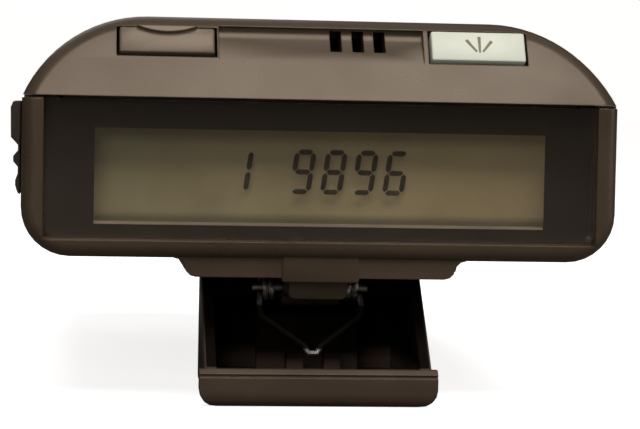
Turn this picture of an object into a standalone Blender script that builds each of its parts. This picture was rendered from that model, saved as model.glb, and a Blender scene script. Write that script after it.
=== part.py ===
"""Pocket pager with its display on the end edge, two keys above the display and a spring belt clip below.

Run it with: blender --background --python part.py

Frame: metres, +Z up. The pager rests on the flat outer face of its belt clip, which is the plane Z = 0.
The origin is on that face, below the middle of the body. +X runs along the display, +Y runs away from the
display towards the battery end. Every size below is in millimetres and is turned into metres by MM.
"""

import math

import bmesh
import bpy
from mathutils import Matrix, Vector

MM = 0.001

# Body: an outline seen from the display end, run along Y, with a sloping brow above the display.
HALF_WIDTH = 27.0
FRONT_Y = -39.0
REAR_Y = 39.0
BOTTOM_Z = 13.4
TOP_Z = 35.1
BOTTOM_CORNER = 4.4
SHOULDER_X = 15.73
SHOULDER_RADIUS = 12.25
PARTING_Z = 27.65
PARTING_GAP = 0.25
LAND_GAP = 0.005
EDGE_ROUND = 1.2
EDGE_BREAK = 0.12
WALL = 1.6
FRONT_WALL = 2.6
BROW_WALL = 2.6
BROW_TILT = math.radians(60)

# Display window and the liquid crystal display behind it.
LENS_HALF_WIDTH = 24.9
LENS_LOW_Z = 15.1
LENS_FRONT_Y = FRONT_Y + 0.3
LENS_THICKNESS = 1.4
LENS_LEDGE = 1.2
GLASS_HALF_WIDTH = 22.0
GLASS_LOW_Z = 15.8
GLASS_HIGH_Z = 26.4
HOLDER_FRONT_Y = FRONT_Y + FRONT_WALL + 0.25
HOLDER_DEPTH = 3.4

# Key strip on the brow, measured up the slope from the lower edge of the brow.
FUNCTION_KEY_X = (-18.65, -9.6)
FUNCTION_KEY_UP = (4.4, 7.5)
READ_KEY_X = (9.7, 18.85)
READ_KEY_UP = (4.2, 7.75)
KEY_GAP = 0.22
KEY_PROUD = 0.35
TROUGH_X = (-9.45, 9.25)
TROUGH_LOW = 4.1
SOUND_SLOT_X = (1.25, 3.28, 5.26)
SOUND_SLOT_WIDTH = 1.05

# Belt clip, its pin and its spring.
LIP_HALF_WIDTH = 10.85
CLIP_HALF_WIDTH = 10.35
TIP_HALF_WIDTH = 7.6
CLIP_SIDE = 1.1
CLIP_FLOOR = 1.6
CLIP_LIP_Z = 3.44
CLIP_TIP_Y = 15.9
CLIP_CORNER = 1.65
PIN_Y = -28.0
PIN_Z = 10.1
PIN_RADIUS = 0.5
PIN_CLEARANCE = 0.08
EAR_RADIUS = 1.75
LUG_HALF_WIDTH = 2.7
LUG_SHOULDER = 3.5
SADDLE_HALF_WIDTH = 13.3
SADDLE_Z = 11.7
WIRE_RADIUS = 0.28
COIL_RADIUS = 1.05

# Battery bay at the end away from the display.
CELL_RADIUS = 5.25
CELL_Y = 31.85
CELL_Z = 21.3
CELL_NEGATIVE_X = -21.1
CELL_LENGTH = 44.5
DOOR_HALF_WIDTH = 22.4
DOOR_FRONT_Y = 26.8
DOOR_TOP_Z = 23.0
DOOR_GAP = 0.25

# Boards and screws.
BOARD_HALF_WIDTH = 19.4
BOARD_REAR_Y = 24.6
MAIN_BOARD_Z = (25.5, 26.5)
RECEIVER_BOARD_Z = (18.2, 19.0)
SCREW_X = 22.4
SCREW_Y = (-22.0, 20.0)
SCREW_RADIUS = 0.95
BOSS_RADIUS = 2.3

# Vibrator motor between the boards.
MOTOR_X = -12.0
MOTOR_Z = 22.25
MOTOR_RADIUS = 2.5
MOTOR_Y = (-14.0, -3.0)

# Slide switch on the left side.
SWITCH_Y = -31.0
SWITCH_Z = (18.7, 27.2)

SLOPE_UP = Vector((0, math.cos(BROW_TILT), math.sin(BROW_TILT)))
SLOPE_OUT = Vector((0, -math.sin(BROW_TILT), math.cos(BROW_TILT)))
BROW_FOOT = Vector((0, FRONT_Y, PARTING_Z))

COLLECTIONS = {}


# ---------------------------------------------------------------- scene, materials and placing


def clear_scene():
    for obj in list(bpy.data.objects):
        bpy.data.objects.remove(obj, do_unlink=True)
    for name in ("pager", "cutters"):
        COLLECTIONS[name] = bpy.data.collections.new(name)
        bpy.context.scene.collection.children.link(COLLECTIONS[name])


def material(name, colour, roughness, metallic=0.0):
    """One Principled material for each finish, made on first use."""
    found = bpy.data.materials.get(name)
    if found:
        return found
    made = bpy.data.materials.new(name)
    made.use_nodes = True
    shader = made.node_tree.nodes["Principled BSDF"]
    shader.inputs["Base Color"].default_value = (*colour, 1.0)
    shader.inputs["Roughness"].default_value = roughness
    shader.inputs["Metallic"].default_value = metallic
    made.diffuse_color = (*colour, 1.0)
    return made


def shell_plastic():
    return material("shell_plastic", (0.060, 0.046, 0.038), 0.55)


def clip_plastic():
    return material("clip_plastic", (0.045, 0.034, 0.028), 0.45)


def steel():
    return material("steel", (0.62, 0.62, 0.60), 0.30, 1.0)


def board_green():
    return material("board_green", (0.030, 0.130, 0.060), 0.45)


def chip_black():
    return material("chip_black", (0.020, 0.020, 0.022), 0.40)


def file_under(obj, collection, finish=None):
    for holder in list(obj.users_collection):
        holder.objects.unlink(obj)
    COLLECTIONS[collection].objects.link(obj)
    if collection == "cutters":
        obj.hide_render = True
        obj.display_type = "WIRE"
    elif finish:
        obj.data.materials.clear()
        obj.data.materials.append(finish)
    return obj


def joint_empty(name, place):
    """An empty on a joint's axis, which carries the pieces that move on that joint."""
    empty = bpy.data.objects.new(name, None)
    empty.empty_display_size = 4 * MM
    empty.location = Vector(place) * MM
    COLLECTIONS["pager"].objects.link(empty)
    return empty


def carry(empty, *pieces):
    for piece in pieces:
        piece.parent = empty
        piece.location -= empty.location


def round_shading(obj, angle=35):
    obj.data.shade_smooth()
    obj.data.set_sharp_from_angle(angle=math.radians(angle))
    return obj


# ---------------------------------------------------------------- basic shapes


def box(name, x, y, z, finish=None, collection="pager", rotation=(0, 0, 0)):
    """A block between the low and high values of x, y and z, turned about its own middle."""
    middle = [(span[0] + span[1]) / 2 * MM for span in (x, y, z)]
    bpy.ops.mesh.primitive_cube_add(size=1, location=middle, rotation=rotation)
    obj = bpy.context.object
    obj.name = name
    obj.scale = [(span[1] - span[0]) * MM for span in (x, y, z)]
    bpy.ops.object.transform_apply(location=False, rotation=False, scale=True)
    return file_under(obj, collection, finish)


def slope_box(name, x, up, out, finish=None, collection="pager"):
    """A block square to the brow: up runs up the slope from the brow's foot, out runs outwards from it."""
    middle = BROW_FOOT + SLOPE_UP * (sum(up) / 2) + SLOPE_OUT * (sum(out) / 2)
    middle.x = sum(x) / 2
    sizes = [span[1] - span[0] for span in (x, up, out)]
    spans = [(middle[i] - sizes[i] / 2, middle[i] + sizes[i] / 2) for i in range(3)]
    return box(name, *spans, finish, collection, rotation=(BROW_TILT, 0, 0))


def rod(name, radius, centre, axis, length, finish=None, collection="pager", sides=24):
    """A cylinder about its centre, along the x, y or z axis."""
    turn = {"x": (0, math.pi / 2, 0), "y": (math.pi / 2, 0, 0), "z": (0, 0, 0)}[axis]
    bpy.ops.mesh.primitive_cylinder_add(
        vertices=sides,
        radius=radius * MM,
        depth=length * MM,
        location=Vector(centre) * MM,
        rotation=turn,
    )
    obj = bpy.context.object
    obj.name = name
    return round_shading(file_under(obj, collection, finish))


def mesh_from_curve(name, curve, matrix):
    """The curve's evaluated shape as a closed mesh object, with its caps welded to its sides."""
    holder = bpy.data.objects.new(name, curve)
    holder.matrix_world = matrix
    bpy.context.scene.collection.objects.link(holder)
    bpy.context.view_layer.update()
    graph = bpy.context.evaluated_depsgraph_get()
    mesh = bpy.data.meshes.new_from_object(holder.evaluated_get(graph))
    place = holder.matrix_world.copy()
    bpy.data.objects.remove(holder, do_unlink=True)
    shape = bmesh.new()
    shape.from_mesh(mesh)
    bmesh.ops.remove_doubles(shape, verts=shape.verts, dist=0.001 * MM)
    bmesh.ops.dissolve_limit(
        shape, angle_limit=math.radians(0.5), verts=shape.verts, edges=shape.edges
    )
    bmesh.ops.recalc_face_normals(shape, faces=shape.faces)
    shape.to_mesh(mesh)
    shape.free()
    obj = bpy.data.objects.new(name, mesh)
    obj.matrix_world = place
    bpy.context.scene.collection.objects.link(obj)
    return obj


def outline_solid(name, outline, view, low, high, finish=None, collection="pager"):
    """A flat outline given thickness from low to high.

    view "end" reads the outline as (x, z) and thickens along y; view "side" reads (y, z) and thickens
    along x; view "top" reads (x, y) and thickens along z.
    """
    curve = bpy.data.curves.new(name, "CURVE")
    curve.dimensions = "2D"
    curve.fill_mode = "BOTH"
    curve.extrude = (high - low) / 2 * MM
    spline = curve.splines.new("POLY")
    spline.points.add(len(outline) - 1)
    for point, (a, b) in zip(spline.points, outline):
        point.co = (a * MM, b * MM, 0, 1)
    spline.use_cyclic_u = True
    middle = (low + high) / 2 * MM
    quarter = math.pi / 2
    turns = {
        "end": Matrix.Translation((0, middle, 0)) @ Matrix.Rotation(quarter, 4, "X"),
        "side": Matrix.Translation((middle, 0, 0))
        @ Matrix.Rotation(quarter, 4, "Z")
        @ Matrix.Rotation(quarter, 4, "X"),
        "top": Matrix.Translation((0, 0, middle)),
    }
    obj = mesh_from_curve(name, curve, turns[view])
    return file_under(obj, collection, finish)


def wire(name, path, radius, finish):
    """A round wire along a path of (x, y, z) points."""
    curve = bpy.data.curves.new(name, "CURVE")
    curve.dimensions = "3D"
    curve.bevel_depth = radius * MM
    curve.bevel_resolution = 1
    curve.use_fill_caps = True
    spline = curve.splines.new("POLY")
    spline.points.add(len(path) - 1)
    for point, place in zip(spline.points, path):
        point.co = (*(c * MM for c in place), 1)
    obj = mesh_from_curve(name, curve, Matrix.Identity(4))
    return round_shading(file_under(obj, "pager", finish), 60)


def combine(obj, other, operation):
    modifier = obj.modifiers.new(f"{operation.lower()} {other.name}", "BOOLEAN")
    modifier.operation = operation
    modifier.solver = "EXACT"
    modifier.object = other
    return obj


def cut(obj, *cutters):
    for cutter in cutters:
        combine(obj, cutter, "DIFFERENCE")
    return obj


def join(obj, *helpers):
    for helper in helpers:
        combine(obj, helper, "UNION")
    return obj


def round_edges(obj, width, segments=2, angle=40):
    modifier = obj.modifiers.new("rounded edges", "BEVEL")
    modifier.width = width * MM
    modifier.segments = segments
    modifier.limit_method = "ANGLE"
    modifier.angle_limit = math.radians(angle)
    modifier.use_clamp_overlap = False
    return obj


def break_edges(obj):
    """Takes the sharpness off the finished piece's edges, as its mould would."""
    flats = obj.modifiers.new("merged flats", "DECIMATE")
    flats.decimate_type = "DISSOLVE"
    flats.angle_limit = math.radians(0.3)
    return round_edges(obj, EDGE_BREAK, 1, 50)


def helper_box(name, x, y, z):
    return box(name, x, y, z, collection="cutters")


def helper_rod(name, radius, centre, axis, length, sides=24):
    return rod(name, radius, centre, axis, length, collection="cutters", sides=sides)


def arc(centre, radius, start, end, steps):
    """Points on an arc from start to end, in degrees, both ends included."""
    angles = [math.radians(start + (end - start) * i / steps) for i in range(steps + 1)]
    return [
        (centre[0] + radius * math.cos(a), centre[1] + radius * math.sin(a))
        for a in angles
    ]


# ---------------------------------------------------------------- body shells


def end_outline(inset, shoulders):
    """The body's outline seen from the display end, moved inwards by inset.

    With shoulders it curves in to the flat top; without them its sides run straight up past the parting.
    """
    half, corner = HALF_WIDTH - inset, BOTTOM_CORNER - inset
    right = arc((half - corner, BOTTOM_Z + inset + corner), corner, -90, 0, 8)
    if shoulders:
        radius = SHOULDER_RADIUS - inset
        start = math.degrees(math.acos((half - SHOULDER_X) / radius))
        right += arc((SHOULDER_X, TOP_Z - SHOULDER_RADIUS), radius, start, 90, 14)
    else:
        right.append((half, TOP_Z))
    return right + [(-x, z) for x, z in reversed(right)]


def side_outline(inset, front_inset, sloping):
    """The body's outline seen from the side. A sloping front leans back from the display as the brow does."""
    low, high, rear = BOTTOM_Z + inset, TOP_Z - inset, REAR_Y - inset
    if not sloping:
        front = FRONT_Y + front_inset
        return [(front, low), (front, TOP_Z + 5), (rear, TOP_Z + 5), (rear, low)]

    def brow_y(z):
        return FRONT_Y + (z - PARTING_Z) / math.tan(BROW_TILT) + front_inset / math.sin(BROW_TILT)

    return [(brow_y(low), low), (brow_y(high), high), (rear, high), (rear, low)]


def body_block(name, inset, front_inset, upper):
    """The body as a solid block: the end outline run along Y, trimmed to the side outline."""
    outline = end_outline(inset, shoulders=upper)
    run = outline_solid(name, outline, "end", FRONT_Y - 12, REAR_Y + 5, collection="cutters")
    side = side_outline(inset, front_inset, sloping=upper)
    trim = outline_solid(f"{name}_trim", side, "side", -40, 40, collection="cutters")
    return combine(run, trim, "INTERSECT")


def body_shell(name, keep, upper, finish):
    """The hollow body with rounded ends, of which only the part inside the keep block is left."""
    outer = round_edges(body_block(f"{name}_outer", 0, 0, upper), EDGE_ROUND, 4)
    front_inset = BROW_WALL if upper else FRONT_WALL
    cut(outer, body_block(f"{name}_inner", WALL, front_inset, upper))
    combine(outer, keep, "INTERSECT")
    outer.name = name
    outer.hide_render = False
    outer.display_type = "TEXTURED"
    return file_under(outer, "pager", finish)


def screw_places():
    return [(x, y) for y in SCREW_Y for x in (-SCREW_X, SCREW_X)]


def make_upper_housing():
    keep = helper_box("keep_upper", (-30, 30), (-45, 45), (PARTING_Z + PARTING_GAP / 2, 40))
    housing = body_shell("upper_housing", keep, True, shell_plastic())
    for i, (x, y) in enumerate(screw_places(), 1):
        boss = helper_rod(f"upper_boss_{i}", BOSS_RADIUS, (x, y, 28.9), "z", 4.2)
        pilot = helper_rod(f"upper_pilot_{i}", SCREW_RADIUS + 0.06, (x, y, 28.3), "z", 4.4, 16)
        join(housing, boss)
        cut(housing, pilot)
    add_skirt(housing)
    for name, span, up in (
        ("function", FUNCTION_KEY_X, FUNCTION_KEY_UP),
        ("read", READ_KEY_X, READ_KEY_UP),
    ):
        cut(housing, slope_box(f"{name}_opening", span, up, (-6, 4), collection="cutters"))
    cut(housing, make_trough())
    for i, x in enumerate(SOUND_SLOT_X, 1):
        half = SOUND_SLOT_WIDTH / 2
        cut(housing, helper_box(f"sound_slot_{i}", (x - half, x + half), (-38, -31), (32.2, 34.1)))
    return round_shading(housing)


def add_skirt(housing):
    """A lip inside the parting line, so nothing inside shows through the gap between the shells."""
    low = PARTING_Z - 0.75
    skirt = helper_box("skirt", (-25.2, 25.2), (-36.1, 37.2), (low, 29.4))
    cut(skirt, helper_box("skirt_inside", (-24.4, 24.4), (-40, 36.4), (20, 35)))
    join(housing, skirt, helper_box("front_skirt", (-23.4, 23.4), (-37.0, -36.4), (low, 29.0)))


def make_trough():
    """The finger trough between the keys: a floor that runs back below an overhanging top edge."""
    floor_start = BROW_FOOT + SLOPE_UP * TROUGH_LOW
    back_y, ceiling = -34.75, 34.3
    outline = [
        (floor_start.y - 1.2, floor_start.z - 1.6),
        (floor_start.y, floor_start.z),
        (-35.15, 33.2),
        (-34.85, 33.6),
        (back_y, 33.9),
        (back_y, ceiling),
        (-38.0, ceiling),
    ]
    return outline_solid("trough", outline, "side", *TROUGH_X, collection="cutters")


def saddle_outline():
    """The clip saddle below the body seen from the display end: its ends run out into the body."""
    outer = arc((SADDLE_HALF_WIDTH, BOTTOM_Z - 1.0), 1.0, 90, 180, 3)
    low = arc((SADDLE_HALF_WIDTH - 2.0, SADDLE_Z + 1.0), 1.0, 0, -90, 3)
    right = [(SADDLE_HALF_WIDTH, BOTTOM_Z + 0.6)] + outer + low
    return [(-x, z) for x, z in right] + [(x, z) for x, z in reversed(right)]


def make_saddle(housing):
    """The raised saddle that the clip hangs from: two cheeks, a middle lug and a pocket on each side."""
    saddle = outline_solid(
        "saddle", saddle_outline(), "end", FRONT_Y + 0.8, -20.0, collection="cutters"
    )
    join(housing, saddle)
    pocket_side = [(-36.9, 10.5), (-36.9, 13.65), (-21.3, 13.65), (-21.3, 10.5)]
    cut(housing, outline_solid("pocket", pocket_side, "side", -11.0, 11.0, collection="cutters"))
    upper_lug = helper_box(
        "upper_lug", (-LUG_SHOULDER, LUG_SHOULDER), (-38.4, -31.0), (11.3, 14.2)
    )
    corner = 0.6
    half, low = LUG_HALF_WIDTH, 9.6
    lug_end = arc((half - corner, low + corner), corner, -90, 0, 3) + [(half, 12.0)]
    lug_end += [(-x, z) for x, z in reversed(lug_end)]
    lug = outline_solid("lug", lug_end, "end", -36.2, -29.0, collection="cutters")
    barrel_side = arc((PIN_Y, PIN_Z), EAR_RADIUS, -150, 0, 8)
    barrel_side += [(PIN_Y + EAR_RADIUS, 14.2), (-32.0, 14.2), (-32.0, low + 0.2)]
    barrel = outline_solid("barrel", barrel_side, "side", -half, half, collection="cutters")
    for block in (upper_lug, lug):
        round_edges(block, 0.2, 2, 60)
    join(housing, upper_lug, lug, barrel)
    bore = helper_rod("pin_bore", PIN_RADIUS + PIN_CLEARANCE, (0, PIN_Y, PIN_Z), "x", 8)
    cut(housing, bore)


def add_seam_land(housing):
    """A strip along the top of the walls that closes the parting gap a little way in from the outside."""
    high = PARTING_Z + PARTING_GAP / 2 - LAND_GAP
    land = helper_box("seam_land", (-26.8, 26.8), (-38.2, 38.6), (high - 0.5, high))
    cut(land, helper_box("seam_land_inside", (-25.45, 25.45), (-36.6, 37.5), (20, 35)))
    join(housing, land)


def make_lower_housing():
    keep = helper_box("keep_lower", (-30, 30), (-45, 45), (5, PARTING_Z - PARTING_GAP / 2))
    housing = body_shell("lower_housing", keep, False, shell_plastic())
    add_seam_land(housing)
    divider = helper_box("bay_divider", (-25.5, 25.5), (24.9, 25.7), (14.6, 26.6))
    join(housing, divider)
    for i, (x, y) in enumerate(screw_places(), 1):
        boss = helper_rod(f"lower_boss_{i}", BOSS_RADIUS, (x, y, 20.45), "z", 12.3)
        hole = helper_rod(f"screw_hole_{i}", SCREW_RADIUS + 0.15, (x, y, 21), "z", 16, 16)
        seat = helper_rod(f"screw_seat_{i}", 2.1, (x, y, 14.5), "z", 3.6)
        join(housing, boss)
        cut(housing, hole, seat)
    window = helper_box(
        "lens_seat",
        (-LENS_HALF_WIDTH - 0.15, LENS_HALF_WIDTH + 0.15),
        (-42, LENS_FRONT_Y + LENS_THICKNESS + 0.15),
        (LENS_LOW_Z - 0.15, 30),
    )
    opening = helper_box(
        "lens_opening",
        (-LENS_HALF_WIDTH + LENS_LEDGE, LENS_HALF_WIDTH - LENS_LEDGE),
        (-42, -35),
        (LENS_LOW_Z + LENS_LEDGE, 30),
    )
    cut(housing, window, opening)
    cut(housing, helper_box("switch_slot", (-28, -24), (-32.3, -29.7), (19.9, 26.0)))
    door = helper_box(
        "door_opening",
        (-DOOR_HALF_WIDTH - DOOR_GAP, DOOR_HALF_WIDTH + DOOR_GAP),
        (DOOR_FRONT_Y - DOOR_GAP, 42),
        (10, DOOR_TOP_Z + DOOR_GAP),
    )
    cut(housing, door)
    make_saddle(housing)
    return round_shading(housing)


def make_battery_door():
    """The sliding cover of the battery bay: the body's floor and lower rear wall in one L-shaped piece."""
    keep = helper_box(
        "keep_door",
        (-DOOR_HALF_WIDTH, DOOR_HALF_WIDTH),
        (DOOR_FRONT_Y, 42),
        (10, DOOR_TOP_Z),
    )
    door = body_shell("battery_door", keep, False, shell_plastic())
    for i, x in enumerate((-12.0, 12.0), 1):
        tongue = helper_box(f"door_tongue_{i}", (x - 3, x + 3), (25.9, 28.2), (15.15, 15.75))
        foot = helper_box(f"door_foot_{i}", (x - 3, x + 3), (27.1, 28.2), (14.2, 15.6))
        join(door, tongue, foot)
    for i, y in enumerate((30.0, 32.0, 34.0), 1):
        ridge = helper_rod(f"door_ridge_{i}", 0.55, (0, y, BOTTOM_Z + 0.05), "x", 16, 12)
        join(door, ridge)
    break_edges(door)
    return round_shading(door)


# ---------------------------------------------------------------- display


def make_display():
    lens_outline = arc((LENS_HALF_WIDTH - 1.0, LENS_LOW_Z + 1.0), 1.0, -90, 0, 4)
    lens_outline += [(LENS_HALF_WIDTH, PARTING_Z - 0.15)]
    lens_outline += [(-x, z) for x, z in reversed(lens_outline)]
    outline_solid(
        "display_lens",
        lens_outline,
        "end",
        LENS_FRONT_Y,
        LENS_FRONT_Y + LENS_THICKNESS,
        material("smoked_acrylic", (0.030, 0.026, 0.024), 0.08),
    )

    front, rear = HOLDER_FRONT_Y, HOLDER_FRONT_Y + HOLDER_DEPTH
    holder = box(
        "lcd_holder",
        (-23.2, 23.2),
        (front, rear),
        (15.2, 26.85),
        material("holder_plastic", (0.025, 0.025, 0.025), 0.6),
    )
    half = GLASS_HALF_WIDTH
    pocket = helper_box(
        "glass_pocket",
        (-half - 0.2, half + 0.2),
        (front + 0.5, rear + 1),
        (GLASS_LOW_Z - 0.2, GLASS_HIGH_Z + 0.2),
    )
    sight = helper_box("holder_sight", (-20.9, 20.9), (front - 1, rear), (15.95, 25.2))
    cut(holder, pocket, sight)

    glass = material("lcd_glass", (0.330, 0.340, 0.240), 0.12)
    y = front + 0.55
    box("lcd_front_glass", (-half, half), (y, y + 0.7), (GLASS_LOW_Z, GLASS_HIGH_Z), glass)
    box(
        "lcd_rear_glass",
        (-half, half),
        (y + 0.75, y + 1.45),
        (GLASS_LOW_Z, GLASS_HIGH_Z - 1.2),
        glass,
    )
    box(
        "lcd_reflector",
        (-half, half),
        (y + 1.5, y + 1.8),
        (GLASS_LOW_Z, GLASS_HIGH_Z),
        material("reflector_foil", (0.55, 0.56, 0.48), 0.35),
    )
    flex = [
        (rear - 1.0, 23.4),
        (rear - 0.75, 23.4),
        (rear - 0.75, 24.6),
        (rear + 0.2, 25.15),
        (-27.0, 25.15),
        (-27.0, 25.4),
        (rear + 0.1, 25.4),
        (rear - 1.0, 24.75),
    ]
    outline_solid(
        "lcd_flex_cable",
        flex,
        "side",
        -14,
        14,
        material("flex_amber", (0.42, 0.20, 0.05), 0.35),
    )


# ---------------------------------------------------------------- keys and switches


def make_key(name, span, up, finish):
    """A push key square to the brow, with a flange behind the wall and a plunger down to its switch."""
    middle = sum(span) / 2
    key = slope_box(
        f"{name}_button",
        (span[0] + KEY_GAP, span[1] - KEY_GAP),
        (up[0] + KEY_GAP, up[1] - KEY_GAP),
        (-3.0, KEY_PROUD),
        finish,
    )
    round_edges(key, 0.25)
    flange = slope_box(
        f"{name}_flange",
        (span[0] - 0.4, span[1] + 0.2),
        (up[0] - 0.6, up[1] - 0.1),
        (-3.55, -2.85),
        collection="cutters",
    )
    join(key, flange)
    plunger = slope_box(
        f"{name}_plunger",
        (middle - 0.8, middle + 0.8),
        (5.0, 6.6),
        (-4.45, -3.6),
        material("plunger_white", (0.75, 0.74, 0.70), 0.5),
    )
    slope_box(
        f"{name}_tact_switch",
        (middle - 2.2, middle + 2.2),
        (3.9, 7.7),
        (-6.3, -5.0),
        chip_black(),
    )
    pivot = BROW_FOOT + SLOPE_UP * (sum(up) / 2)
    carry(joint_empty(f"{name}_key_slide", (middle, pivot.y, pivot.z)), key, plunger)
    return key


def make_nail_ledge(middle):
    """A raised crescent along the upper edge of the key for a fingernail, deepest at its middle."""
    chord, rise, height, steps = 2.7, 0.6, 0.4, 8
    radius = (chord**2 + rise**2) / (2 * rise)
    half_angle = math.degrees(math.asin(chord / radius))
    points = arc((0, radius - rise), radius, -90 - half_angle, -90 + half_angle, steps)
    curve = bpy.data.curves.new("nail_ledge", "CURVE")
    curve.dimensions = "2D"
    curve.fill_mode = "BOTH"
    curve.extrude = height * MM
    spline = curve.splines.new("POLY")
    spline.points.add(len(points) - 1)
    for point, (a, b) in zip(spline.points, points):
        point.co = (a * MM, b * MM, 0, 1)
    spline.use_cyclic_u = True
    place = BROW_FOOT + SLOPE_UP * (FUNCTION_KEY_UP[1] - KEY_GAP - 0.1) + SLOPE_OUT * KEY_PROUD
    matrix = Matrix.Translation(Vector((middle, place.y, place.z)) * MM)
    matrix = matrix @ Matrix.Rotation(BROW_TILT, 4, "X")
    return file_under(mesh_from_curve("nail_ledge", curve, matrix), "cutters")


def make_key_board():
    board = slope_box("key_board", (-19.2, 19.6), (3.4, 7.75), (-7.15, -6.35), board_green())
    notch = slope_box("key_board_notch", (-1, 8.5), (5.2, 9), (-9, -5), collection="cutters")
    return cut(board, notch)


def make_side_switch():
    """The slide switch on the left side: an outer knob with three ridges, and the switch inside."""
    skin = -HALF_WIDTH - 0.2
    low, high = SWITCH_Z
    profile = [
        (skin, low),
        (skin - 0.18, low + 0.15),
        (skin - 0.25, low + 0.3),
        (skin - 0.42, low + 0.85),
        (skin - 0.42, low + 1.3),
        (skin - 0.2, low + 1.9),
        (skin - 0.2, low + 2.5),
        (skin - 0.62, low + 3.0),
        (skin - 0.62, low + 3.5),
        (skin - 0.2, low + 4.0),
        (skin - 0.2, low + 4.5),
        (skin - 0.85, low + 5.2),
        (skin - 0.9, high - 0.6),
        (skin - 0.7, high - 0.1),
        (skin - 0.5, high),
        (skin, high),
    ]
    knob = outline_solid(
        "side_switch_knob",
        profile,
        "end",
        SWITCH_Y - 3.0,
        SWITCH_Y + 3.0,
        material("knob_black", (0.020, 0.017, 0.015), 0.5),
    )
    stem = helper_box(
        "knob_stem", (skin - 0.15, -23.4), (SWITCH_Y - 1, SWITCH_Y + 1), (21.5, 24.4)
    )
    join(knob, stem)
    body = box("side_switch_body", (-24.8, -20.6), (-32.3, -28.9), (19.6, 26.3), steel())
    track = helper_box("switch_track", (-26, -21.6), (-32.4, -29.6), (20.0, 25.9))
    cut(body, track)
    slider = box(
        "side_switch_slider",
        (-23.2, -21.8),
        (SWITCH_Y - 1, SWITCH_Y + 1),
        (21.5, 24.4),
        material("slider_cream", (0.62, 0.58, 0.46), 0.5),
    )
    middle_z = sum(SWITCH_Z) / 2
    carry(joint_empty("side_switch_slide", (skin, SWITCH_Y, middle_z)), knob, slider)


# ---------------------------------------------------------------- belt clip


def clip_side_outline(front):
    """The clip's silhouette seen from the side: thumb lip, flange past the pin, low rim, hooked tip."""
    thumb = arc((front + 1.2, 1.2), 1.2, 180, 270, 3)
    tip = [(8.0, 0.0), (11.5, 0.8), (14.0, 2.9), (15.4, 5.6), (CLIP_TIP_Y, 8.6)]
    tip += [(15.7, 11.2), (15.0, 12.6), (14.2, 12.75), (13.2, 12.0)]
    rim = [(13.2, 7.0), (11.6, 4.6), (9.6, 3.3), (7.0, 2.9), (-17.0, 2.9), (-18.6, 3.6), (-20.2, 9.4)]
    ear = arc((PIN_Y, PIN_Z), EAR_RADIUS, -10, 140, 7)
    bead = [
        (front + 0.5, CLIP_LIP_Z),
        (front + 0.05, CLIP_LIP_Z - 0.42),
        (front + 0.2, CLIP_LIP_Z - 0.5),
        (front + 0.2, CLIP_LIP_Z - 0.64),
        (front, CLIP_LIP_Z - 0.74),
    ]
    return thumb + tip + rim + ear + bead


def clip_cavity_outline():
    """The space between the clip's sides, seen from the side, open at the front and towards the body."""
    floor = [(FRONT_Y - 5, 20.0), (FRONT_Y - 5, CLIP_FLOOR), (7.0, CLIP_FLOOR)]
    hook = [(10.2, 2.4), (12.3, 4.1), (13.6, 6.5), (14.0, 9.2), (13.4, 11.6), (12.9, 20.0)]
    return floor + hook


def clip_plan(inset):
    """The clip seen from above: straight sides to the pin, then a taper to a rounded tip."""
    tip = TIP_HALF_WIDTH - inset
    right = [(CLIP_HALF_WIDTH - inset, -50), (CLIP_HALF_WIDTH - inset, PIN_Y + 1.5)]
    right += arc((tip - 2.0, CLIP_TIP_Y + 0.6 - 2.0), 2.0, 0, 90, 4)
    return right + [(-x, y) for x, y in reversed(right)]


def rounded_channel(name, half, low_y, high_y):
    """A block with its two lower long edges rounded."""
    corner = CLIP_CORNER
    section = arc((half - corner, corner), corner, -90, 0, 4) + [(half, 14.0)]
    section += [(-x, z) for x, z in reversed(section)]
    return outline_solid(name, section, "end", low_y, high_y, collection="cutters")


def make_clip_lip():
    """The thumb lip across the clip's front: a little wider than the clip, with a bead and groove on top."""
    lip = rounded_channel("clip_lip", LIP_HALF_WIDTH, FRONT_Y - 2, FRONT_Y + 1.3)
    outline = clip_side_outline(FRONT_Y)
    trim = outline_solid("lip_trim", outline, "side", -20, 20, collection="cutters")
    combine(lip, trim, "INTERSECT")
    return combine(lip, helper_box("lip_keep", (-15, 15), (-45, -30), (-5, CLIP_LIP_Z)), "INTERSECT")


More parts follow.
